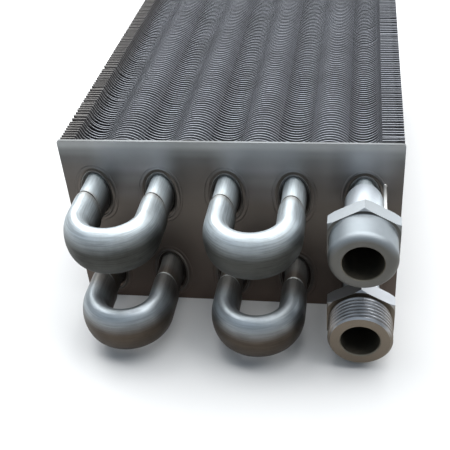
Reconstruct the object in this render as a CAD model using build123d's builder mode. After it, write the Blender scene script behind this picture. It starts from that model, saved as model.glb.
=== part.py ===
from build123d import *
import os
from math import atan2, cos, sin, sqrt

# Finned-tube boiler heat exchanger: two rows of oval tubes through a stack of sheet fins, held by a tube plate
# at each end. Millimetres, X across the tubes, Y along them from the front plate to the rear, Z up.
# The origin is under the middle of the overall length, at the height of the plates' lower edges.

# Tubes and their layout
tube_pitch = 36.0
tubes_per_row = 5
row_pitch = 53.5
tube_width = 12.9
tube_height = 25.1
tube_wall = 0.8
tube_stub = 24.0

# Tube plates, with a rounded and inward drawn collar round each tube
block_length = 260.0
plate_thickness = 1.5
margin_left = 16.5
margin_right = 19.4
margin_below = 20.8
margin_above = 33.2
plate_corner = 1.5
collar_depth = 3.4
collar_wall = 1.2
collar_entry = 2.0
collar_root = 0.8
plate_clearance = 0.05

# Fins
fin_thickness = 0.5
fin_pitch = 2.5
fin_end_gap = 2.4
fin_setback = 0.4
fin_below_rim = 1.0
fin_above_base = 2.0
fin_clearance = 0.05
wave_depth = 7.5
strip_reach = 8.0
end_trough_shift = 1.5

# Return bends, slipped over the tube ends
joint_stand_off = 17.4
bend_wall = 0.7
bend_start = 31.6
cup_clearance = 0.05
cup_rim_round = 0.25

# Pipe connections, cupped over the last tube of each row
neck_length = 6.8
boss_width = 20.4
boss_height = 29.4
boss_to_hex = 20.8
hex_across_flats = 35.0
hex_thickness = 8.4
hex_bevel = 1.6
thread_major = 33.25
collar_reach = 16.4
thread_reach = 13.4
thread_relief_depth = 1.5
thread_relief_width = 1.8
thread_chamfer = 1.3
collar_round = 2.0
bore_diameter = 20.0
bore_chamfer = 0.8
bore_taper_length = 12.0
socket_depth = 12.0
socket_end_play = 0.3

# Stay pin beside the upper connection
pin_diameter = 1.8
pin_length = 25.0
pin_beside_tube = 10.2
pin_above_tube = 8.8
pin_foot_diameter = 3.4
pin_foot_height = 1.2

# Places that follow from the sizes above
plate_width = margin_left + (tubes_per_row - 1) * tube_pitch + margin_right
plate_height = margin_below + row_pitch + margin_above
tube_xs = [margin_left - plate_width / 2 + i * tube_pitch for i in range(tubes_per_row)]
rows = {"upper": margin_below + row_pitch, "lower": margin_below}
bend_growth = cup_clearance + bend_wall
bend_width = tube_width + 2 * bend_growth
bend_height = tube_height + 2 * bend_growth
front_reach = bend_start + tube_pitch / 2 + bend_width / 2
rear_reach = bend_start + row_pitch / 2 + bend_height / 2
front_face = (front_reach - rear_reach - block_length) / 2
rear_face = front_face + block_length
tube_centres = [(x, z) for z in rows.values() for x in tube_xs]

os.makedirs("parts", exist_ok=True)


def write(part, name):
    part.label = name
    export_step(part, f"parts/{name}.step")


# Tube plates: one sheet each, the holes drawn inward with a rounded entry on the outer face
plate_hole_width = tube_width + 2 * plate_clearance
plate_hole_height = tube_height + 2 * plate_clearance


def tube_plate(outer_face):
    """A plate whose outer face lies on the given plane, with its normal pointing away from the fins."""
    inner_side = outer_face.offset(-plate_thickness)
    with BuildPart() as plate:
        with BuildSketch(outer_face):
            with Locations((0, plate_height / 2)):
                Rectangle(plate_width, plate_height)
        extrude(amount=-plate_thickness)
        fillet(plate.edges().filter_by(Axis.Y), plate_corner)
        with BuildSketch(inner_side):
            with Locations(*hole_places(outer_face)):
                Ellipse(plate_hole_width / 2 + collar_wall, plate_hole_height / 2 + collar_wall)
        extrude(amount=-(collar_depth - plate_thickness))
        roots = plate.faces().sort_by(SortBy.AREA)[-2:].edges().filter_by(GeomType.ELLIPSE)
        fillet(roots, collar_root)
        with BuildSketch(outer_face):
            with Locations(*hole_places(outer_face)):
                Ellipse(plate_hole_width / 2, plate_hole_height / 2)
        extrude(amount=-collar_depth, mode=Mode.SUBTRACT)
        mouths = plate.faces().filter_by(Axis.Y).sort_by(SortBy.AREA)[-1].inner_wires().edges()
        fillet(mouths, collar_entry)
    return plate


def hole_places(plane):
    """Tube centres in the sketch coordinates of a plane that stands across the tubes."""
    return [(x * plane.x_dir.X, z) for x, z in tube_centres]


front_side = Plane(origin=(0, front_face, 0), x_dir=(1, 0, 0), z_dir=(0, -1, 0))
rear_side = Plane(origin=(0, rear_face, 0), x_dir=(-1, 0, 0), z_dir=(0, 1, 0))
front_plate = tube_plate(front_side)
write(front_plate.part, "front_plate")
rear_plate = tube_plate(rear_side)
write(rear_plate.part, "rear_plate")

# Fins: thin sheets with a flat strip at each end of the top edge and a round trough over each tube. The trough
# over an end tube runs up to the strip in one arc, and its bottom lies a little nearer the middle.
fin_left = -plate_width / 2 + fin_setback
fin_right = plate_width / 2 - fin_setback
fin_top = plate_height - fin_below_rim
trough_level = fin_top - wave_depth
middle_level = fin_top - wave_depth / 2
quarter = tube_pitch / 4


def arc_to_bottom(start, bottom):
    """An arc from the start that comes down level at the trough's bottom."""
    run, fall = bottom[0] - start[0], start[1] - bottom[1]
    radius = (run**2 + fall**2) / (2 * fall)
    half_turn = atan2(run, radius - fall) / 2
    middle = (bottom[0] - radius * sin(half_turn), bottom[1] + radius - radius * cos(half_turn))
    ThreePointArc(start, middle, bottom)


inner_length = block_length - 2 * plate_thickness
fin_count = int((inner_length - 2 * fin_end_gap - fin_thickness) / fin_pitch) + 1
stack_middle = (front_face + rear_face) / 2

with BuildPart() as fin:
    with BuildSketch(Plane.XZ.offset(fin_thickness / 2)):
        with BuildLine():
            Polyline(
                (tube_xs[-1] + strip_reach, fin_top),
                (fin_right, fin_top),
                (fin_right, fin_above_base),
                (fin_left, fin_above_base),
                (fin_left, fin_top),
                (tube_xs[0] - strip_reach, fin_top),
            )
            for x in tube_xs:
                left, right, bottom = (x - quarter, middle_level), (x + quarter, middle_level), x
                if x == tube_xs[0]:
                    left, bottom = (x - strip_reach, fin_top), x + end_trough_shift
                if x == tube_xs[-1]:
                    right, bottom = (x + strip_reach, fin_top), x - end_trough_shift
                arc_to_bottom(left, (bottom, trough_level))
                arc_to_bottom(right, (bottom, trough_level))
                if x != tube_xs[-1]:
                    crest = (x + tube_pitch / 2, fin_top)
                    ThreePointArc(right, crest, (x + tube_pitch - quarter, middle_level))
        make_face()
        with Locations(*tube_centres):
            Ellipse(tube_width / 2 + fin_clearance, tube_height / 2 + fin_clearance, mode=Mode.SUBTRACT)
    extrude(amount=-fin_thickness)

with BuildPart() as fins:
    with Locations((0, stack_middle)):
        with GridLocations(0, fin_pitch, 1, fin_count):
            add(fin.part)
write(fins.part, "fins")

# Straight tubes: ten lengths of drawn oval tube. Each runs into a bend at both ends, but for the last of each
# row, which runs into a pipe connection at the front.
connection_stub = neck_length + socket_depth - socket_end_play
for row, z in rows.items():
    for i, x in enumerate(tube_xs, start=1):
        front_stub = connection_stub if i == tubes_per_row else tube_stub
        tube_end = Plane(origin=(x, front_face - front_stub, z), x_dir=(1, 0, 0), z_dir=(0, 1, 0))
        with BuildPart() as tube:
            with BuildSketch(tube_end):
                Ellipse(tube_width / 2, tube_height / 2)
                Ellipse(tube_width / 2 - tube_wall, tube_height / 2 - tube_wall, mode=Mode.SUBTRACT)
            extrude(amount=front_stub + block_length + tube_stub)
        write(tube.part, f"{row}_tube_{i}")

# Return bends: an oval section a slip fit larger than the tubes, bent through half a turn
leg_length = bend_start - joint_stand_off


def return_bend(place, spacing, in_plane, across):
    """A U in the place's XY plane: its ends at y = 0, its bow towards +y, its legs apart along x."""
    half = spacing / 2
    with BuildPart() as bend:
        for side in (-1, 1):
            mouth = Plane(place.from_local_coords((side * half, 0, 0)), place.x_dir, place.y_dir)
            with BuildSketch(mouth):
                Ellipse(in_plane / 2, across / 2)
                Ellipse(in_plane / 2 - bend_wall, across / 2 - bend_wall, mode=Mode.SUBTRACT)
            extrude(amount=leg_length)
        bow = Plane(place.from_local_coords((half, leg_length, 0)), place.x_dir, place.y_dir)
        with BuildSketch(bow):
            Ellipse(in_plane / 2, across / 2)
            Ellipse(in_plane / 2 - bend_wall, across / 2 - bend_wall, mode=Mode.SUBTRACT)
        hub = place.from_local_coords((0, leg_length, 0))
        revolve(axis=Axis(hub, place.z_dir), revolution_arc=180)
        rims = bend.edges().filter_by(GeomType.ELLIPSE).group_by(Axis(place.origin, place.y_dir))[0]
        fillet(rims.group_by(SortBy.LENGTH)[-1], cup_rim_round)
    return bend


front_bends = {"left": 0, "right": 2}
rear_bends = {"left": 1, "right": 3}
for row, z in rows.items():
    for name, first in front_bends.items():
        middle_x = (tube_xs[first] + tube_xs[first + 1]) / 2
        place = Plane((middle_x, front_face - joint_stand_off, z), x_dir=(1, 0, 0), z_dir=(0, 0, -1))
        front_bend = return_bend(place, tube_pitch, bend_width, bend_height)
        write(front_bend.part, f"front_bend_{row}_{name}")
    for name, first in rear_bends.items():
        middle_x = (tube_xs[first] + tube_xs[first + 1]) / 2
        place = Plane((middle_x, rear_face + joint_stand_off, z), x_dir=(1, 0, 0), z_dir=(0, 0, 1))
        rear_bend = return_bend(place, tube_pitch, bend_width, bend_height)
        write(rear_bend.part, f"rear_bend_{row}_{name}")

# The crossover at the rear joins the two rows at the side away from the connections
crossover_mouth = (tube_xs[0], rear_face + joint_stand_off, (rows["upper"] + rows["lower"]) / 2)
crossover_place = Plane(crossover_mouth, x_dir=(0, 0, 1), z_dir=(-1, 0, 0))
crossover = return_bend(crossover_place, row_pitch, bend_height, bend_width)
write(crossover.part, "rear_crossover_bend")

# Pipe connections: an oval cup on the tube, a hexagon for the spanner and a round nose with a straight bore
connection_x = tube_xs[-1]
hex_start = boss_to_hex
hex_end = hex_start + hex_thickness
hex_corner_radius = hex_across_flats / sqrt(3)
cup_width = tube_width + 2 * cup_clearance
cup_height = tube_height + 2 * cup_clearance


def connection(row, nose_length, threaded):
    """A turned connection whose cup starts a neck's length in front of the plate."""
    mouth = Plane(
        (connection_x, front_face - neck_length, rows[row]), x_dir=(1, 0, 0), z_dir=(0, -1, 0)
    )
    hex_back = mouth.offset(hex_start)
    hex_front = mouth.offset(hex_end)
    nose_face = mouth.offset(hex_end + nose_length)
    with BuildPart() as body:
        with BuildSketch(mouth):
            Ellipse(boss_width / 2, boss_height / 2)
        extrude(amount=hex_start)
        with BuildSketch(hex_back):
            RegularPolygon(hex_across_flats / 2, 6, major_radius=False, rotation=30)
        extrude(amount=hex_thickness)
        with BuildSketch(Plane(mouth.origin, x_dir=(1, 0, 0), z_dir=(0, 0, 1))):
            for level, inward in ((-hex_start, -1), (-hex_end, 1)):
                with BuildLine():
                    Polyline(
                        (hex_corner_radius - hex_bevel, level),
                        (hex_corner_radius + hex_bevel, level),
                        (hex_corner_radius + hex_bevel, level + 2 * inward * hex_bevel / sqrt(3)),
                        close=True,
                    )
                make_face()
        revolve(axis=Axis(mouth.origin, mouth.z_dir), mode=Mode.SUBTRACT)
        with BuildSketch(hex_front):
            Circle(thread_major / 2)
        extrude(amount=nose_length)
        nose_rim = body.edges().filter_by(GeomType.CIRCLE).sort_by(Axis(mouth.origin, mouth.z_dir))[-1]
        if threaded:
            chamfer(nose_rim, thread_chamfer)
            with BuildSketch(hex_front):
                Circle(thread_major / 2)
                Circle(thread_major / 2 - thread_relief_depth, mode=Mode.SUBTRACT)
            extrude(amount=thread_relief_width, mode=Mode.SUBTRACT)
        else:
            fillet(nose_rim, collar_round)
        with BuildSketch(mouth):
            Ellipse(cup_width / 2, cup_height / 2)
        extrude(amount=socket_depth, mode=Mode.SUBTRACT)
        with BuildSketch(mouth.offset(socket_depth)):
            Ellipse(tube_width / 2 - tube_wall, tube_height / 2 - tube_wall)
        with BuildSketch(mouth.offset(socket_depth + bore_taper_length)):
            Circle(bore_diameter / 2)
        loft(mode=Mode.SUBTRACT)
        with BuildSketch(nose_face):
            Circle(bore_diameter / 2)
        bore_length = hex_end + nose_length - socket_depth - bore_taper_length
        extrude(amount=-bore_length, mode=Mode.SUBTRACT)
        bore_rim = body.edges().filter_by(GeomType.CIRCLE).group_by(Axis(mouth.origin, mouth.z_dir))[-1]
        chamfer(bore_rim.sort_by(SortBy.RADIUS)[0], bore_chamfer)
    return body


upper_connection = connection("upper", collar_reach, threaded=False)
write(upper_connection.part, "upper_connection")
lower_connection = connection("lower", thread_reach, threaded=True)
write(lower_connection.part, "lower_connection")

# Stay pin: a thin rod welded to the front plate beside the upper connection
pin_foot = Plane(
    (connection_x + pin_beside_tube, front_face, rows["upper"] + pin_above_tube),
    x_dir=(1, 0, 0),
    z_dir=(0, -1, 0),
)
with BuildPart() as pin:
    with BuildSketch(pin_foot):
        Circle(pin_diameter / 2)
    extrude(amount=pin_length)
    fillet(pin.faces().sort_by(Axis.Y)[0].edges(), pin_diameter / 4)
    with BuildSketch(pin_foot):
        Circle(pin_foot_diameter / 2)
    with BuildSketch(pin_foot.offset(pin_foot_height)):
        Circle(pin_diameter / 2)
    loft()
write(pin.part, "stay_pin")
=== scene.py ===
import math
import random

import bmesh
import bpy
import numpy as np
from mathutils import Matrix, Vector


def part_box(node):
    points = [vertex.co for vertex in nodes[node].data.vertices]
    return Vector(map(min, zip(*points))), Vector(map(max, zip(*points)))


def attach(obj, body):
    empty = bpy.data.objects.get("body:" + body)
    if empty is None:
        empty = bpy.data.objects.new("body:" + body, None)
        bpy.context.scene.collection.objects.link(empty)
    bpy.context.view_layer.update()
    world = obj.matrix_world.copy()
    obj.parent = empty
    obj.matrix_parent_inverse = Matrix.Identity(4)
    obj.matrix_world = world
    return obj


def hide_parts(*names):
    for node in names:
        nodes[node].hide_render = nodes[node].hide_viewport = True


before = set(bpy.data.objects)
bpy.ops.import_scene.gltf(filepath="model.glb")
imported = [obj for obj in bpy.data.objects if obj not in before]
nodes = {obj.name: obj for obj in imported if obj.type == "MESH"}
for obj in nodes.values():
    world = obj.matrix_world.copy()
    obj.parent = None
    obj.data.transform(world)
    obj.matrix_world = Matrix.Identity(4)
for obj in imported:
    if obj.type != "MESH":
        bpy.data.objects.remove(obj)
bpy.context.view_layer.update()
scene = bpy.context.scene

# Camera: it stands in front of the connections and looks down along the tubes, with a little roll.
# Its place is given from the front plate's outer face, over the third tube of the upper row.
plate_low, plate_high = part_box("front_plate")
third_low, third_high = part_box("upper_tube_3")
third_tube = Vector(((third_low.x + third_high.x) / 2, plate_low.y, (third_low.z + third_high.z) / 2))
camera_from_tube = Vector((0.06684, -0.33393, 0.23392))
camera_heading = math.radians(-11.711)
camera_tilt = math.radians(-36.575)
camera_roll = math.radians(-5.346)
focal_pixels = 775.5
picture_pixels = 450
camera_data = bpy.data.cameras.new("camera")
camera_data.sensor_width = 36.0
camera_data.lens = focal_pixels / picture_pixels * camera_data.sensor_width
camera_data.clip_start = 0.01
camera = bpy.data.objects.new("camera", camera_data)
scene.collection.objects.link(camera)
view_turn = Matrix.Rotation(-camera_heading, 4, "Z") @ Matrix.Rotation(math.pi / 2 + camera_tilt, 4, "X")
camera.matrix_world = (
    Matrix.Translation(third_tube + camera_from_tube) @ view_turn @ Matrix.Rotation(camera_roll, 4, "Z")
)
scene.camera = camera

# Studio: a pale floor that the plates stand on, under a wide soft main light nearly over the block, which
# whitens the tops of the tubes. A weaker light stands behind it, and a low one at the back on the right.
# The room is bright above and dim at eye level. The camera sees a pale backdrop in its place.
scene.view_settings.view_transform = "Standard"


def new_material(name):
    material = bpy.data.materials.new(name)
    material.use_nodes = True
    return material, material.node_tree.nodes["Principled BSDF"]


half_floor = 3.0
floor_colour = (0.72, 0.72, 0.715, 1)
floor_corners = [(x * half_floor, y * half_floor, 0) for x, y in ((-1, -1), (1, -1), (1, 1), (-1, 1))]
floor_mesh = bpy.data.meshes.new("floor")
floor_mesh.from_pydata(floor_corners, [], [(0, 1, 2, 3)])
floor = bpy.data.objects.new("floor", floor_mesh)
scene.collection.objects.link(floor)
floor_material, floor_shader = new_material("pale_floor")
floor_shader.inputs["Base Color"].default_value = floor_colour
floor_shader.inputs["Roughness"].default_value = 0.9
floor_shader.inputs["Specular IOR Level"].default_value = 0.1
floor.data.materials.append(floor_material)

room_colour = (0.77, 0.88, 1.0, 1)
backdrop_colour = (0.80, 0.81, 0.82, 1)
brightest_way = (-0.15, -0.06, 0.98)
eye_level_strength, overhead_strength = 0.12, 0.60
overhead_from = 0.9
world = bpy.data.worlds.new("studio")
world.use_nodes = True
room = world.node_tree
room_light = room.nodes["Background"]
room_light.inputs["Color"].default_value = room_colour
direction = room.nodes.new("ShaderNodeTexCoord")
upward = room.nodes.new("ShaderNodeVectorMath")
upward.operation = "DOT_PRODUCT"
upward.inputs[1].default_value = brightest_way
brightness = room.nodes.new("ShaderNodeMapRange")
brightness.interpolation_type = "SMOOTHSTEP"
brightness.inputs["From Max"].default_value = overhead_from
brightness.inputs["To Min"].default_value = eye_level_strength
brightness.inputs["To Max"].default_value = overhead_strength
backdrop = room.nodes.new("ShaderNodeBackground")
backdrop.inputs["Color"].default_value = backdrop_colour
light_path = room.nodes.new("ShaderNodeLightPath")
seen_room = room.nodes.new("ShaderNodeMixShader")
room.links.new(direction.outputs["Generated"], upward.inputs[0])
room.links.new(upward.outputs["Value"], brightness.inputs["Value"])
room.links.new(brightness.outputs["Result"], room_light.inputs["Strength"])
room.links.new(light_path.outputs["Is Camera Ray"], seen_room.inputs["Fac"])
room.links.new(room_light.outputs["Background"], seen_room.inputs[1])
room.links.new(backdrop.outputs["Background"], seen_room.inputs[2])
room.links.new(seen_room.outputs["Shader"], room.nodes["World Output"].inputs["Surface"])
scene.world = world

lights_target = Vector((0, -0.05, 0.05))


def soft_light(name, place, size, watts, colour):
    data = bpy.data.lights.new(name, "AREA")
    data.shape = "RECTANGLE"
    data.size, data.size_y = size
    data.energy = watts
    data.color = colour
    light = bpy.data.objects.new(name, data)
    light.location = place
    light.rotation_euler = (lights_target - light.location).to_track_quat("-Z", "Y").to_euler()
    scene.collection.objects.link(light)


soft_light("back_light", place=(-0.30, 1.10, 0.95), size=(1.5, 0.9), watts=7.5, colour=(0.97, 0.99, 1.0))
soft_light("overhead_light", place=(0.06, 0.15, 1.30), size=(3.0, 1.2), watts=47, colour=(1.0, 0.99, 0.98))
soft_light("right_light", place=(1.0, 0.75, 0.30), size=(0.9, 0.5), watts=3.2, colour=(0.97, 0.99, 1.0))

# Tubes: ten straight lengths of stainless tube, rolled to an oval and drawn, so the grain runs along them.
# Their colour turns brown where a bend or a connection is brazed on. The lower row has a darker copy of the
# steel, as painted shade under the upper bends.
mm = 0.001


def metal_group():
    """What every satin piece shares: a fine grain, slow smudges, streaks, shallow dents and a brown heat tint
    beside the brazed joints, and painted shade with a painted reflection of a brown floor on faces that look
    down, sideways or along the tubes. It gives a colour, a roughness and a height for a bump."""
    smudge_scale, dent_scale = 42.0, 110.0
    smudge_from, smudge_to = 0.38, 0.72
    smudge_roughness = 0.35
    streak_from, streak_to = 0.40, 0.64
    # Faces that look sideways or along the tubes count as turned down by these shares, and so take the
    # painted shade too.
    side_share, end_share = -0.34, -0.5
    painted_shade_from, painted_shade_to = 0.20, -0.48
    heat_from, heat_to = 1.0, 0.45
    heat_unevenness = 6 * mm
    heat_brown = (0.60, 0.50, 0.42, 1)
    smudge_grey = (0.62, 0.60, 0.57, 1)
    streak_grey = (0.5, 0.5, 0.5, 1)

    group = bpy.data.node_groups.new("drawn_metal", "ShaderNodeTree")
    for name, kind, value in (
        ("Metal", "NodeSocketColor", (0.6, 0.6, 0.6, 1)),
        ("Tint", "NodeSocketColor", (0.3, 0.22, 0.15, 1)),
        ("Painted Shade", "NodeSocketFloat", 0.6),
        ("Smudge", "NodeSocketFloat", 0.2),
        ("Roughness", "NodeSocketFloat", 0.3),
        ("Grain", "NodeSocketVector", (400, 400, 400)),
        ("Heat", "NodeSocketFloat", 0.0),
        ("Block Middle", "NodeSocketFloat", 0.0),
        ("Joint Reach", "NodeSocketFloat", 0.15),
        ("Heat Width", "NodeSocketFloat", 0.0075),
        ("Waviness", "NodeSocketFloat", 0.0),
        ("Streaks", "NodeSocketFloat", 0.0),
    ):
        socket = group.interface.new_socket(name=name, in_out="INPUT", socket_type=kind)
        socket.default_value = value
    for name, kind in (
        ("Colour", "NodeSocketColor"), ("Roughness", "NodeSocketFloat"), ("Height", "NodeSocketFloat")
    ):
        group.interface.new_socket(name=name, in_out="OUTPUT", socket_type=kind)
    make, link = group.nodes.new, group.links.new
    given, result = make("NodeGroupInput").outputs, make("NodeGroupOutput").inputs
    place = make("ShaderNodeTexCoord").outputs["Object"]

    def maths(operation, *values):
        node = make("ShaderNodeMath")
        node.operation = operation
        for socket, value in zip(node.inputs, values):
            if isinstance(value, (int, float)):
                socket.default_value = value
            else:
                link(value, socket)
        return node.outputs["Value"]

    def faded(value, start, end):
        node = make("ShaderNodeMapRange")
        node.interpolation_type = "SMOOTHSTEP"
        node.inputs["From Min"].default_value = start
        node.inputs["From Max"].default_value = end
        link(value, node.inputs["Value"])
        return node.outputs["Result"]

    def noise(vector, scale, detail, roughness=0.5):
        node = make("ShaderNodeTexNoise")
        node.inputs["Scale"].default_value = scale
        node.inputs["Detail"].default_value = detail
        node.inputs["Roughness"].default_value = roughness
        link(vector, node.inputs["Vector"])
        return node.outputs["Fac"]

    def toned(blend, amount, colour, other):
        node = make("ShaderNodeMix")
        node.data_type = "RGBA"
        node.blend_type = blend
        link(amount, node.inputs["Factor"])
        link(colour, node.inputs["A"])
        if isinstance(other, tuple):
            node.inputs["B"].default_value = other
        else:
            link(other, node.inputs["B"])
        return node.outputs["Result"]

    def parts_of(vector):
        node = make("ShaderNodeSeparateXYZ")
        link(vector, node.inputs["Vector"])
        return node.outputs

    stretched = make("ShaderNodeVectorMath")
    stretched.operation = "MULTIPLY"
    link(place, stretched.inputs[0])
    link(given["Grain"], stretched.inputs[1])
    grain = noise(stretched.outputs["Vector"], scale=1.0, detail=3.0)
    streaks = maths("MULTIPLY", faded(grain, streak_from, streak_to), given["Streaks"])
    smudges = noise(place, smudge_scale, detail=6.0, roughness=0.62)
    smudge_amount = maths("MULTIPLY", faded(smudges, smudge_from, smudge_to), given["Smudge"])

    # Painted shade and painted floor reflection: faces turned down take the Tint colour.
    normal = parts_of(make("ShaderNodeNewGeometry").outputs["Normal"])
    sideways = maths("POWER", maths("ABSOLUTE", normal["X"]), 2.0)
    turned_up = maths("MULTIPLY_ADD", sideways, side_share, normal["Z"])
    turned_up = maths("MULTIPLY_ADD", maths("ABSOLUTE", normal["Y"]), end_share, turned_up)
    painted_shade = maths("MULTIPLY", faded(turned_up, painted_shade_from, painted_shade_to), given["Painted Shade"])

    off_middle = maths("ABSOLUTE", maths("SUBTRACT", parts_of(place)["Y"], given["Block Middle"]))
    off_joint = maths("ABSOLUTE", maths("SUBTRACT", off_middle, given["Joint Reach"]))
    off_joint = maths("MULTIPLY_ADD", smudges, heat_unevenness, off_joint)
    heat = faded(maths("DIVIDE", off_joint, given["Heat Width"]), heat_from, heat_to)
    heat = maths("MULTIPLY", heat, given["Heat"])

    colour = toned("MIX", painted_shade, given["Metal"], given["Tint"])
    for amount, tone in ((heat, heat_brown), (smudge_amount, smudge_grey), (streaks, streak_grey)):
        colour = toned("MULTIPLY", amount, colour, tone)
    link(colour, result["Colour"])
    link(maths("MULTIPLY_ADD", smudge_amount, smudge_roughness, given["Roughness"]), result["Roughness"])
    dents = noise(place, dent_scale, detail=1.0)
    link(maths("MULTIPLY_ADD", dents, given["Waviness"], grain), result["Height"])
    return group


drawn_metal = metal_group()


def metal_material(
    name, metal, tint, painted_shade, smudge, roughness, grain, bump,
    heat=(0.0, 0.0, 0.0, 7.5 * mm), waviness=0.0, streaks=0.0,
):
    """A satin metal, and the colour of the painted shade and painted floor reflection on faces turned down.
    The heat tint has an amount, the block's middle along the tubes, a joint's distance from there and a width
    either side of the joint."""
    material, shader = new_material(name)
    tree = material.node_tree
    look = tree.nodes.new("ShaderNodeGroup")
    look.node_tree = drawn_metal
    for socket, value in (
        ("Metal", (*metal, 1)),
        ("Tint", (*tint, 1)),
        ("Painted Shade", painted_shade),
        ("Smudge", smudge),
        ("Roughness", roughness),
        ("Grain", grain),
        ("Heat", heat[0]),
        ("Block Middle", heat[1]),
        ("Joint Reach", heat[2]),
        ("Heat Width", heat[3]),
        ("Waviness", waviness),
        ("Streaks", streaks),
    ):
        look.inputs[socket].default_value = value
    relief = tree.nodes.new("ShaderNodeBump")
    relief.inputs["Strength"].default_value = bump
    relief.inputs["Distance"].default_value = 0.1 * mm
    shader.inputs["Metallic"].default_value = 1.0
    tree.links.new(look.outputs["Colour"], shader.inputs["Base Color"])
    tree.links.new(look.outputs["Roughness"], shader.inputs["Roughness"])
    tree.links.new(look.outputs["Height"], relief.inputs["Height"])
    tree.links.new(relief.outputs["Normal"], shader.inputs["Normal"])
    return material


def dress(name, material):
    piece = nodes[name]
    piece.data.materials.clear()
    piece.data.materials.append(material)


row_count = 5
tube_boxes = {row: [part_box(f"{row}_tube_{i}") for i in range(1, row_count + 1)] for row in ("upper", "lower")}
tube_rows = {row: (boxes[0][0].z + boxes[0][1].z) / 2 for row, boxes in tube_boxes.items()}
tube_xs = [(low.x + high.x) / 2 for low, high in tube_boxes["upper"]]
tube_places = [(x, z) for z in tube_rows.values() for x in tube_xs]
tube_pitch = tube_xs[1] - tube_xs[0]
first_low, first_high = tube_boxes["upper"][0]
tube_width, tube_height = first_high.x - first_low.x, first_high.z - first_low.z
front_face, rear_face = plate_low.y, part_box("rear_plate")[1].y
block_middle = (front_face + rear_face) / 2
front_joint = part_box("front_bend_upper_left")[1].y
joint_reach = block_middle - front_joint
tube_metal = metal_material(
    "tube_steel", (0.87, 0.95, 0.985), (0.070, 0.068, 0.064), painted_shade=1.0, smudge=0.25, roughness=0.56,
    grain=(1500, 60, 1500), bump=0.12, heat=(0.5, block_middle, joint_reach, 7.5 * mm), waviness=3.0,
    streaks=0.25,
)
shaded_tube_metal = metal_material(
    "shaded_tube_steel", (0.42, 0.41, 0.39), (0.075, 0.07, 0.062), painted_shade=1.0, smudge=0.4, roughness=0.50,
    grain=(1500, 60, 1500), bump=0.12, heat=(0.7, block_middle, joint_reach, 14 * mm), waviness=3.0,
    streaks=0.25,
)
for i in range(1, row_count + 1):
    dress(f"upper_tube_{i}", tube_metal)
    dress(f"lower_tube_{i}", shaded_tube_metal)

# Return bends: the same oval tube bent round a former, widened at its ends, slipped over two tubes and
# brazed. Bending and heat have left dents, streaks and blotches. The lower bends have a darker, browner
# copy of the steel, as painted shade under the upper bends.
bend_metal = metal_material(
    "bend_steel", (0.64, 0.70, 0.73), (0.060, 0.061, 0.056), painted_shade=1.0, smudge=0.50, roughness=0.52,
    grain=(70, 70, 1500), bump=0.14, heat=(0.5, block_middle, joint_reach, 7.5 * mm), waviness=10.0,
    streaks=0.45,
)
shaded_bend_metal = metal_material(
    "shaded_bend_steel", (0.455, 0.50, 0.53), (0.078, 0.062, 0.048), painted_shade=1.0, smudge=0.4, roughness=0.45,
    grain=(70, 70, 1500), bump=0.14, heat=(0.75, block_middle, joint_reach, 20 * mm), waviness=7.0,
    streaks=0.35,
)
for name in nodes:
    if "_bend" in name:
        dress(name, shaded_bend_metal if "lower" in name else bend_metal)


# Brazed joints: a thin uneven bead of braze round each tube, run in against the rim of its bend.
# It is dark on the upper row. On the lower row it has the bright tube steel, a painted highlight where the
# rim catches light.
def mesh_piece(name, points, faces, material):
    mesh = bpy.data.meshes.new(name)
    mesh.from_pydata(points, [], faces)
    mesh.materials.append(material)
    piece = bpy.data.objects.new(name, mesh)
    scene.collection.objects.link(piece)
    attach(piece, "root")
    return piece


def faces_between(ring_count, size, start=0, closed=True, flipped=False):
    """The four-cornered faces between rings that have size points each. In a closed set, the last ring meets
    the first. Flipped faces look the other way."""
    faces = []
    for i in range(ring_count if closed else ring_count - 1):
        here, beyond = start + i * size, start + (i + 1) % ring_count * size
        for j in range(size):
            j_next = (j + 1) % size
            corners = (here + j, here + j_next, beyond + j_next, beyond + j)
            faces.append(corners[:1] + corners[:0:-1] if flipped else corners)
    return faces


def tube_rings(name, places, section, unevenness, material):
    """Closed rings about the tubes. A place is x, y, z and 1 or -1, the way along Y that the section's depth
    points. The section is given as distances off the tube's surface and depths."""
    chance = random.Random(5)
    steps_round = 96
    points, faces = [], []
    for x, y, z, way in places:
        faces += faces_between(steps_round, len(section), start=len(points), flipped=True)
        phase = chance.uniform(0, math.tau)
        for i in range(steps_round):
            t = i / steps_round * math.tau
            swell = 1 + unevenness * (math.sin(3 * t + phase) + 0.6 * math.sin(7 * t + 2 * phase))
            across, up = math.cos(t) / (tube_width / 2), math.sin(t) / (tube_height / 2)
            length = math.hypot(across, up)
            for off, depth in section:
                point_x = x + tube_width / 2 * math.cos(t) + off * swell * across / length
                point_z = z + tube_height / 2 * math.sin(t) + off * swell * up / length
                points.append((point_x, y + way * depth * swell, point_z))
    piece = mesh_piece(name, points, faces, material)
    piece.data.polygons.foreach_set("use_smooth", [True] * len(faces))
    return piece


braze_and_shade_metal = metal_material(
    "braze_and_shade", (0.040, 0.036, 0.034), (0.42, 0.40, 0.37), painted_shade=1.0, smudge=0.4, roughness=0.5,
    grain=(2500, 2500, 2500), bump=0.3,
)
bead_reach, bead_height, bead_sides = 0.65 * mm, 0.55 * mm, 8
bead_angles = [math.tau * i / bead_sides for i in range(bead_sides)]
bead_section = [(bead_height * math.cos(a), bead_reach * math.sin(a)) for a in bead_angles]
bead_places = []
for i, x in enumerate(tube_xs):
    for z in tube_rows.values():
        if i < row_count - 1:
            bead_places.append((x, front_joint + bead_reach, z, 1))
        bead_places.append((x, 2 * block_middle - front_joint - bead_reach, z, -1))
joint_beads = tube_rings("joint_beads", bead_places, bead_section, unevenness=0.12, material=braze_and_shade_metal)
joint_beads.data.materials.append(tube_metal)
between_rows = (tube_rows["upper"] + tube_rows["lower"]) / 2
for face in joint_beads.data.polygons:
    face.material_index = int(face.center.z < between_rows)
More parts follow.
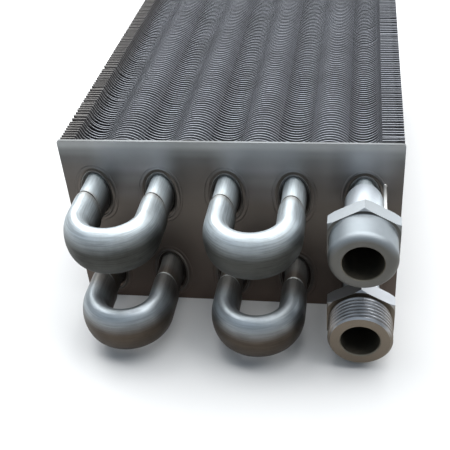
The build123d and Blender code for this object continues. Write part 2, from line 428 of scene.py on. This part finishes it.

# Tube plates: rolled stainless sheet with its grain along the width. Its colour is the sheet's grey
# with painted reflection: lighter near the upper edge and further down over each pair of tubes that a
# front bend joins, with a thin painted highlight just under the edge, and brown lower down, as a painted
# reflection of a brown floor. Both ramps are given from the lower edge to the upper one, and the lighter
# one's share from left to right.
dim_painted_reflection = {
    0.0: (0.138, 0.105, 0.088), 0.14: (0.122, 0.097, 0.083), 0.30: (0.110, 0.090, 0.077),
    0.62: (0.105, 0.091, 0.079), 0.74: (0.104, 0.093, 0.084), 0.84: (0.104, 0.097, 0.091),
    0.90: (0.108, 0.107, 0.105), 0.94: (0.155, 0.160, 0.160), 0.98: (0.275, 0.285, 0.285),
    0.996: (0.275, 0.285, 0.285), 1.0: (0.20, 0.205, 0.205),
}
bright_painted_reflection = {
    0.0: (0.138, 0.105, 0.088), 0.14: (0.122, 0.097, 0.083), 0.30: (0.110, 0.090, 0.077),
    0.62: (0.108, 0.094, 0.083), 0.72: (0.135, 0.127, 0.122), 0.80: (0.215, 0.212, 0.214),
    0.86: (0.315, 0.322, 0.335), 0.95: (0.345, 0.360, 0.375), 0.98: (0.410, 0.425, 0.435),
    0.996: (0.410, 0.425, 0.435), 1.0: (0.25, 0.26, 0.265),
}
bright_reflection_share = {
    0.0: 0.0, 0.07: 0.05, 0.20: 1.0, 0.28: 0.95, 0.37: 0.05, 0.44: 0.0, 0.55: 0.85, 0.63: 1.0, 0.75: 0.2,
    0.80: 0.35, 0.87: 1.0, 0.94: 0.65, 1.0: 0.1,
}
plate_metal = metal_material(
    "plate_steel", bright_painted_reflection[0.86], dim_painted_reflection[0.62], painted_shade=0.0, smudge=0.12, roughness=0.46,
    grain=(40, 40, 1400), bump=0.10,
)
plate_tree = plate_metal.node_tree


def place_parts(tree):
    """The three parts of a point's place, in a material's own tree."""
    place = tree.nodes.new("ShaderNodeTexCoord")
    parts = tree.nodes.new("ShaderNodeSeparateXYZ")
    tree.links.new(place.outputs["Object"], parts.inputs["Vector"])
    return parts.outputs


def metal_socket(material):
    """Where a metal takes its colour."""
    look = next(node for node in material.node_tree.nodes if node.type == "GROUP")
    return look.inputs["Metal"]


plate_place = place_parts(plate_tree)


def plate_ramp(axis, colours):
    """A ramp of colours from the plate's one edge to the other along an axis."""
    level = plate_tree.nodes.new("ShaderNodeMapRange")
    level.inputs["From Min"].default_value = getattr(plate_low, axis)
    level.inputs["From Max"].default_value = getattr(plate_high, axis)
    plate_tree.links.new(plate_place[axis.upper()], level.inputs["Value"])
    ramp = plate_tree.nodes.new("ShaderNodeValToRGB")
    ramp.color_ramp.interpolation = "EASE"
    stops = ramp.color_ramp.elements
    for share, colour in colours.items():
        stop = {0.0: stops[0], 1.0: stops[-1]}.get(share) or stops.new(share)
        stop.color = (*colour, 1)
    plate_tree.links.new(level.outputs["Result"], ramp.inputs["Fac"])
    return ramp.outputs["Color"]


painted_reflection_colour = plate_tree.nodes.new("ShaderNodeMix")
painted_reflection_colour.data_type = "RGBA"
for socket, ramp in (
    ("Factor", plate_ramp("x", {across: (share, share, share) for across, share in bright_reflection_share.items()})),
    ("A", plate_ramp("z", dim_painted_reflection)),
    ("B", plate_ramp("z", bright_painted_reflection)),
):
    plate_tree.links.new(ramp, painted_reflection_colour.inputs[socket])
plate_tree.links.new(painted_reflection_colour.outputs["Result"], metal_socket(plate_metal))
for name in ("front_plate", "rear_plate"):
    dress(name, plate_metal)

# Plate collars: round each tube the sheet is pressed into two low ridges with a groove between. The groove
# and the inner ridge are a darker brown. From there down into the hole, next to the tube, they take the dark
# braze: partly braze, partly painted shade in the gap round the tube. The profile goes inward and gives
# distances off the tube and heights over the plate's face, in millimetres.
collar_metal = metal_material(
    "collar_steel", (0.108, 0.096, 0.086), (0.108, 0.096, 0.086), painted_shade=0.0, smudge=0.3, roughness=0.40,
    grain=(300, 300, 300), bump=0.1,
)
collar_profile = [
    (5.6, -0.5), (5.6, -0.02), (5.2, 0.11), (4.7, 0.16), (4.3, 0.11), (3.8, 0.03), (3.4, 0.03), (3.0, 0.30),
    (2.6, 0.50), (2.2, 0.34), (1.9, 0.0), (1.5, -0.45), (0.9, -0.9), (0.05, -1.0), (0.05, -1.3), (1.3, -1.42),
]
brown_from, dark_from, dark_to = 5, 9, 13
collar_section = [(off * mm, -height * mm) for off, height in collar_profile]
collar_places = [(x, y, z, way) for x, z in tube_places for y, way in ((front_face, 1), (rear_face, -1))]
plate_collars = tube_rings(
    "plate_collars", collar_places, collar_section, unevenness=0.02, material=plate_metal
)
for metal in (collar_metal, braze_and_shade_metal):
    plate_collars.data.materials.append(metal)
for face in plate_collars.data.polygons:
    step = face.index % len(collar_section)
    face.material_index = (brown_from <= step <= dark_to) + (dark_from <= step <= dark_to)

# Pipe connections: turned steel, each cupped over the last tube of its row and brazed on, with a hexagon for
# the spanner and a round nose. The upper nose is plain, the lower one has a pipe thread. The plain nose has a
# darker grey than its hexagon, though both are one steel: painted shade on the nose. The bores are darker
# and browner.
plain_metal = metal_material(
    "plain_nose_steel", (0.295, 0.325, 0.345), (0.12, 0.117, 0.108), painted_shade=1.0, smudge=0.15,
    roughness=0.55, grain=(900, 900, 900), bump=0.10,
)
hexagon_metal = metal_material(
    "hexagon_steel", (0.46, 0.49, 0.51), (0.12, 0.117, 0.108), painted_shade=1.0, smudge=0.2, roughness=0.55,
    grain=(900, 900, 900), bump=0.10,
)
threaded_metal = metal_material(
    "threaded_nose_steel", (0.47, 0.485, 0.51), (0.150, 0.125, 0.098), painted_shade=1.0, smudge=0.2,
    roughness=0.34, grain=(900, 900, 900), bump=0.12,
)
bore_metal = metal_material(
    "bore_steel", (0.20, 0.185, 0.15), (0.12, 0.10, 0.08), painted_shade=0.5, smudge=0.4, roughness=0.5,
    grain=(900, 60, 900), bump=0.12,
)
# The neck takes the painted shade more strongly, which darkens its sides.
neck_metal = metal_material(
    "neck_steel", (0.82, 0.88, 0.93), (0.045, 0.045, 0.045), painted_shade=1.6, smudge=0.2, roughness=0.52,
    grain=(900, 60, 900), bump=0.10, heat=(0.6, block_middle, joint_reach, 4 * mm),
)
neck, hexagonal, nose, bored = range(4)
boss_half = Vector((10.2 * mm, 14.7 * mm))
boss_round = 0.5 * mm
boss_fillet = 0.8 * mm
hex_flat = 17.5 * mm
hex_length = 8.4 * mm
hex_bevel = 1.6 * mm
hex_corner = hex_flat * 2 / math.sqrt(3)
nose_radius = 16.625 * mm
nose_round = 4.0 * mm
thread_pitch = 25.4 * mm / 11
thread_depth = 1.45 * mm
thread_relief = 0.8 * mm
thread_chamfer = 1.3 * mm
thread_softness, thread_stretch, thread_flat = 0.12, 1.06, 0.02
bore_radius = 10.0 * mm
bore_taper = 12.0 * mm
socket_depth = 12.0 * mm
socket_half = Vector((tube_width / 2 + 0.05 * mm, tube_height / 2 + 0.05 * mm))
tube_bore_half = Vector((tube_width / 2 - 0.8 * mm, tube_height / 2 - 0.8 * mm))
plain_sizes = {
    "boss_length": 20.8 * mm, "nose_length": 16.4 * mm, "nose_fillet": 0.85 * mm, "bore_chamfer": 0.4 * mm,
}
threaded_sizes = {
    "boss_length": 18.0 * mm, "nose_length": 16.2 * mm, "nose_fillet": 1.0 * mm, "bore_chamfer": 0.5 * mm,
}
arc_parts, nose_parts, bore_parts, thread_parts = 6, 12, 12, 100
ring_points = 240
ring_angles = np.arange(ring_points) * math.tau / ring_points


def oval(half):
    """Distance from the axis to an oval's edge, at each angle."""
    return 1 / np.sqrt((np.cos(ring_angles) / half[0]) ** 2 + (np.sin(ring_angles) / half[1]) ** 2)


def hexagon(depth):
    """Distance from the axis to the hexagon's edge at a depth under a face, with the corners bevelled."""
    sector = (ring_angles + math.pi / 6) % (math.pi / 3)
    flat = hex_flat / np.cos(sector - math.pi / 6)
    return np.minimum(flat, hex_corner - hex_bevel + math.sqrt(3) * depth)


def thread(distance):
    """Distance from the axis to the thread's surface, which climbs one pitch in a turn, with soft crests."""
    phase = (distance / thread_pitch - ring_angles / math.tau) % 1.0
    slope = np.abs(2 * phase - 1)
    soft = slope - thread_softness * np.sin(math.tau * slope)
    return nose_radius - thread_depth * np.clip(thread_stretch * soft - thread_flat, 0, 1)


def quarter_turn(parts):
    """The angles of a quarter turn in equal parts."""
    return [i / parts * math.pi / 2 for i in range(parts + 1)]


def connection_rings(sizes, threaded):
    """The outer surface from the cup's mouth to the nose's face, then the bore back to the mouth. A ring has
    a distance from the mouth, radii and the finish that follows it."""
    rings = []

    def ring(distance, radius, finish):
        rings.append((distance, radius * np.ones(ring_points), finish))

    boss, back = oval(boss_half), sizes["boss_length"]
    front = back + hex_length
    nose_length = sizes["nose_length"]
    face = front + nose_length
    for a in quarter_turn(arc_parts):
        ring(boss_round * (1 - math.cos(a)), boss - boss_round * (1 - math.sin(a)), neck)
    for a in quarter_turn(arc_parts):
        ring(back - boss_fillet * (1 - math.sin(a)), boss + boss_fillet * (1 - math.cos(a)), neck)
    bevels = [i / arc_parts * hex_bevel / math.sqrt(3) for i in range(arc_parts + 1)]
    for depth in bevels:
        ring(back + depth, hexagon(depth), hexagonal)
    for depth in reversed(bevels):
        ring(front - depth, hexagon(depth), hexagonal)
    fillet = sizes["nose_fillet"]
    root = nose_radius - thread_depth if threaded else nose_radius
    for a in quarter_turn(arc_parts):
        ring(front + fillet * (1 - math.cos(a)), root + fillet * (1 - math.sin(a)), nose)
    if threaded:
        for i in range(thread_parts + 1):
            distance = fillet + (nose_length - fillet) * i / thread_parts
            run_out = min((distance - fillet) / thread_relief, 1)
            cone = nose_radius - max(thread_chamfer - (nose_length - distance), 0)
            ring(front + distance, np.minimum(root + (thread(distance) - root) * run_out, cone), nose)
    else:
        for a in quarter_turn(nose_parts):
            ring(face - nose_round * (1 - math.sin(a)), nose_radius - nose_round * (1 - math.cos(a)), nose)
    bore_mouth = face - sizes["bore_chamfer"]
    ring(face, bore_radius + sizes["bore_chamfer"], bored)
    ring(bore_mouth, bore_radius, bored)
    for i in range(1, bore_parts + 1):
        ring(bore_mouth - (bore_mouth - socket_depth - bore_taper) * i / bore_parts, bore_radius, bored)
    inner = oval(tube_bore_half)
    for i in range(1, bore_parts + 1):
        share = i / bore_parts
        ring(socket_depth + bore_taper * (1 - share), bore_radius + (inner - bore_radius) * share, bored)
    ring(socket_depth, oval(socket_half), bored)
    ring(0.0, oval(socket_half), bored)
    return rings


def connection(name, row, sizes, threaded, metals):
    low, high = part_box(f"{row}_connection")
    x, z = (low.x + high.x) / 2, tube_rows[row]
    mouth = high.y
    points = []
    rings = connection_rings(sizes, threaded)
    for distance, radius, _ in rings:
        for r, t in zip(radius, ring_angles):
            points.append((x + r * math.cos(t), mouth - distance, z + r * math.sin(t)))
    faces = faces_between(len(rings), ring_points)
    piece = mesh_piece(name, points, faces, metals[0])
    for metal in metals[1:]:
        piece.data.materials.append(metal)
    finishes = [finish for _, _, finish in rings for _ in range(ring_points)]
    piece.data.polygons.foreach_set("material_index", finishes)
    piece.data.polygons.foreach_set("use_smooth", [True] * len(faces))
    piece.data.set_sharp_from_angle(angle=math.radians(28))
    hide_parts(f"{row}_connection")


plain_metals = (neck_metal, hexagon_metal, plain_metal, bore_metal)
threaded_metals = (neck_metal, threaded_metal, threaded_metal, bore_metal)
connection("plain_connection", "upper", plain_sizes, False, plain_metals)
connection("threaded_connection", "lower", threaded_sizes, True, threaded_metals)

# Stay pin: a length of bright drawn steel wire with a rounded tip, which stands on the front plate.
# It is spot-welded there, with a small swelling of weld at its foot.
pin_metal = metal_material(
    "pin_wire", (0.92, 0.92, 0.90), (0.5, 0.47, 0.43), painted_shade=0.4, smudge=0.1, roughness=0.45,
    grain=(900, 60, 900), bump=0.05, heat=(0.5, block_middle, block_middle - front_face, 4.5 * mm),
)
pin_radius = 0.78 * mm
pin_foot_radius, pin_foot_height = 1.1 * mm, 0.7 * mm
pin_sides, pin_parts = 32, 8
pin_low, pin_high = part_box("stay_pin")
pin_x, pin_z = (pin_low.x + pin_high.x) / 2, (pin_low.z + pin_high.z) / 2
pin_profile = [(pin_high.y, 0.0), (pin_high.y, pin_foot_radius)]
for i in range(1, pin_parts + 1):
    t = i / pin_parts
    foot = pin_radius + (pin_foot_radius - pin_radius) * (1 - t) ** 2
    pin_profile.append((pin_high.y - pin_foot_height * t, foot))
for a in quarter_turn(pin_parts):
    pin_profile.append((pin_low.y + pin_radius * (1 - math.sin(a)), pin_radius * math.cos(a)))
pin_points = []
for y, radius in pin_profile:
    for i in range(pin_sides):
        t = i / pin_sides * math.tau
        pin_points.append((pin_x + radius * math.cos(t), y, pin_z + radius * math.sin(t)))
pin_faces = faces_between(len(pin_profile), pin_sides, closed=False)
stay_wire = mesh_piece("stay_wire", pin_points, pin_faces, pin_metal)
shape = bmesh.new()
shape.from_mesh(stay_wire.data)
bmesh.ops.remove_doubles(shape, verts=shape.verts, dist=1e-7)
bmesh.ops.recalc_face_normals(shape, faces=shape.faces)
shape.to_mesh(stay_wire.data)
shape.free()
stay_wire.data.polygons.foreach_set("use_smooth", [True] * len(stay_wire.data.polygons))
stay_wire.data.set_sharp_from_angle(angle=math.radians(40))
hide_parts("stay_pin")

# Fins: a stack of thin steel sheets with oval holes for the tubes. The top edge has a flat strip at each end,
# a round trough over each tube and a crest between two. The cut edges and a band of the faces under them
# have a light copy of the steel, as painted light, and the rest of the faces a dark one, as painted shade
# between the sheets. Both are darker towards the left end. Handling has left each sheet a little off its place.
shaded_fin_metal = metal_material(
    "shaded_fin_face", (0.115, 0.115, 0.125), (0.08, 0.075, 0.072), painted_shade=0.3, smudge=0.2, roughness=0.6,
    grain=(300, 300, 300), bump=0.05,
)
lit_fin_band_metal = metal_material(
    "lit_fin_band", (0.37, 0.385, 0.415), (0.30, 0.28, 0.28), painted_shade=0.4, smudge=0.3, roughness=0.65,
    grain=(300, 300, 300), bump=0.05,
)
fins_low, fins_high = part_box("fins")
darker_reach, darker_fade = 13 * mm, 6 * mm


def darken_left_end(material, end_colour):
    """Gives a fin's metal a darker colour towards the left end."""
    tree = material.node_tree
    nearness = tree.nodes.new("ShaderNodeMapRange")
    nearness.inputs["From Min"].default_value = fins_low.x + darker_reach
    nearness.inputs["From Max"].default_value = fins_low.x + darker_reach - darker_fade
    tree.links.new(place_parts(tree)["X"], nearness.inputs["Value"])
    darkened = tree.nodes.new("ShaderNodeMix")
    darkened.data_type = "RGBA"
    darkened.inputs["A"].default_value = metal_socket(material).default_value
    darkened.inputs["B"].default_value = (*end_colour, 1)
    tree.links.new(nearness.outputs["Result"], darkened.inputs["Factor"])
    tree.links.new(darkened.outputs["Result"], metal_socket(material))


darken_left_end(shaded_fin_metal, (0.042, 0.036, 0.032))
darken_left_end(lit_fin_band_metal, (0.27, 0.26, 0.25))
fin_thickness = 0.5 * mm
fin_pitch = 2.5 * mm
fin_clearance = 0.05 * mm
wave_depth = 7.5 * mm
strip_reach = 8.0 * mm
end_trough_shift = 1.5 * mm
painted_light_band = 0.5 * mm
strip_painted_light_band = 0.22 * mm
lean_spread = 0.07 * mm
ripple_depth, ripple_turns = 0.06 * mm, (8, 16)
free_share = 0.14
usual_bend, knocked_bend = 0.28 * mm, 0.9 * mm
knocked_share = 0.13
corner_bends = (1.3 * mm, 0.9 * mm, -0.4 * mm)
hair = 0.005 * mm
wave_steps = 6
hole_steps = 18
fin_count = round((fins_high.y - fins_low.y - fin_thickness) / fin_pitch) + 1
quarter_pitch = tube_pitch / 4


def arc_drop(run, reach, depth):
    """How far an arc lies off its middle's level at a run from it, where it drops a depth over its reach."""
    radius = (reach**2 + depth**2) / (2 * depth)
    return radius - math.sqrt(max(radius**2 - run**2, 0))


def wave_height(x):
    """The top edge's height over the troughs' bottoms at a distance x from the first tube's axis."""
    last = (row_count - 1) * tube_pitch
    from_end = min(x, last - x)
    if from_end < end_trough_shift:
        return arc_drop(end_trough_shift - from_end, strip_reach + end_trough_shift, wave_depth)
    if from_end < quarter_pitch:
        return arc_drop(from_end - end_trough_shift, quarter_pitch - end_trough_shift, wave_depth / 2)
    offset = abs(x - round(x / tube_pitch) * tube_pitch)
    if offset < quarter_pitch:
        return arc_drop(offset, quarter_pitch, wave_depth / 2)
    return wave_depth - arc_drop(tube_pitch / 2 - offset, quarter_pitch, wave_depth / 2)


def top_edge():
    """The fin's top edge from left to right as x and z."""
    first, last = tube_xs[0], tube_xs[-1]
    strip = [fins_low.x + (first - strip_reach - fins_low.x) * i / 4 for i in range(4)]
    reach = last - first + 2 * strip_reach
    steps = round(reach / quarter_pitch * wave_steps)
    wave = [first - strip_reach + reach * i / steps for i in range(steps + 1)]
    far_strip = [fins_high.x + (last + strip_reach - fins_high.x) * i / 4 for i in range(3, -1, -1)]
    points = [(x, fins_high.z) for x in strip]
    points += [(x, fins_high.z - wave_depth + wave_height(x - first)) for x in wave]
    return points + [(x, fins_high.z) for x in far_strip]


def painted_light_depth(x):
    """How far the painted light comes down a fin's face from the cut edge, less on the end strips."""
    on_wave = tube_xs[0] - strip_reach <= x <= tube_xs[-1] + strip_reach
    return painted_light_band if on_wave else strip_painted_light_band


def fin_sheet():
    """One fin about y = 0: its points, its faces, and for each face whether it takes the painted light of the
    cut edge.
    """
    edge = top_edge()
    band_foot = [(x, z - painted_light_depth(x)) for x, z in edge]
    loops = [[(fins_low.x, fins_low.z)] + band_foot + [(fins_high.x, fins_low.z)]]
    across, up = tube_width / 2 + fin_clearance, tube_height / 2 + fin_clearance
    angles = [math.tau * i / hole_steps for i in range(hole_steps)]
    for x, z in tube_places:
        loops.append([(x + across * math.cos(a), z + up * math.sin(a)) for a in angles])
    sheet = bmesh.new()
    rims = []
    for loop in loops:
        corners = [sheet.verts.new((x, -fin_thickness / 2, z)) for x, z in loop]
        rims.append(corners)
        for a, b in zip(corners, corners[1:] + corners[:1]):
            sheet.edges.new((a, b))
    bmesh.ops.triangle_fill(sheet, use_beauty=True, edges=sheet.edges[:])
    top = [sheet.verts.new((x, -fin_thickness / 2, z)) for x, z in edge]
    under = rims[0][1:-1]
    for i in range(len(edge) - 1):
        sheet.faces.new((under[i], under[i + 1], top[i + 1], top[i]))
    grown = bmesh.ops.extrude_face_region(sheet, geom=sheet.faces[:])
    moved = [v for v in grown["geom"] if isinstance(v, bmesh.types.BMVert)]
    bmesh.ops.translate(sheet, verts=moved, vec=(0, fin_thickness, 0))
    bmesh.ops.recalc_face_normals(sheet, faces=sheet.faces[:])
    sheet.verts.index_update()
    points = np.array([v.co for v in sheet.verts])
    faces = [[v.index for v in face.verts] for face in sheet.faces]
    foot_at = {round(x, 6): z for x, z in band_foot}

    def in_painted_light(face):
        in_band = all(v.co.z > foot_at.get(round(v.co.x, 6), 1) - hair for v in face.verts)
        on_side = any(all(abs(v.co.x - x) < hair for v in face.verts) for x in (fins_low.x, fins_high.x))
        return in_band or on_side

    bright = [in_painted_light(face) for face in sheet.faces]
    sheet.free()
    return points, faces, bright


def handled(points, i, place, chance):
    """The fin's points at a place in the stack, leaning and waved a little, with its free end strips bent."""
    across = (points[:, 0] - fins_low.x) / (fins_high.x - fins_low.x)
    height = (points[:, 2] - fins_low.z) / (fins_high.z - fins_low.z)
    left_strip = np.clip(1 - across / free_share, 0, 1)
    right_strip = np.clip((across - (1 - free_share)) / free_share, 0, 1)
    lean = chance.gauss(0, lean_spread)
    ripple = ripple_depth * np.sin(across * chance.uniform(*ripple_turns) + chance.uniform(0, math.tau))
    left_bend, right_bend = (
        chance.gauss(0, knocked_bend if chance.random() < knocked_share else usual_bend) for _ in range(2)
    )
    if i < len(corner_bends):
        right_bend = corner_bends[i]
    moved = points.copy()
    moved[:, 1] += place + height * (lean + ripple + left_bend * left_strip + right_bend * right_strip)
    return moved


sheet_points, sheet_faces, sheet_painted_light = fin_sheet()
fin_chance = random.Random(11)
all_points, all_faces = [], []
for i in range(fin_count):
    place = fins_low.y + fin_thickness / 2 + i * fin_pitch
    start = i * len(sheet_points)
    all_points.extend(handled(sheet_points, i, place, fin_chance).tolist())
    all_faces.extend([[start + v for v in face] for face in sheet_faces])
fin_stack = mesh_piece("fin_stack", all_points, all_faces, shaded_fin_metal)
fin_stack.data.materials.append(lit_fin_band_metal)
fin_stack.data.polygons.foreach_set("material_index", [int(b) for b in sheet_painted_light] * fin_count)
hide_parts("fins")
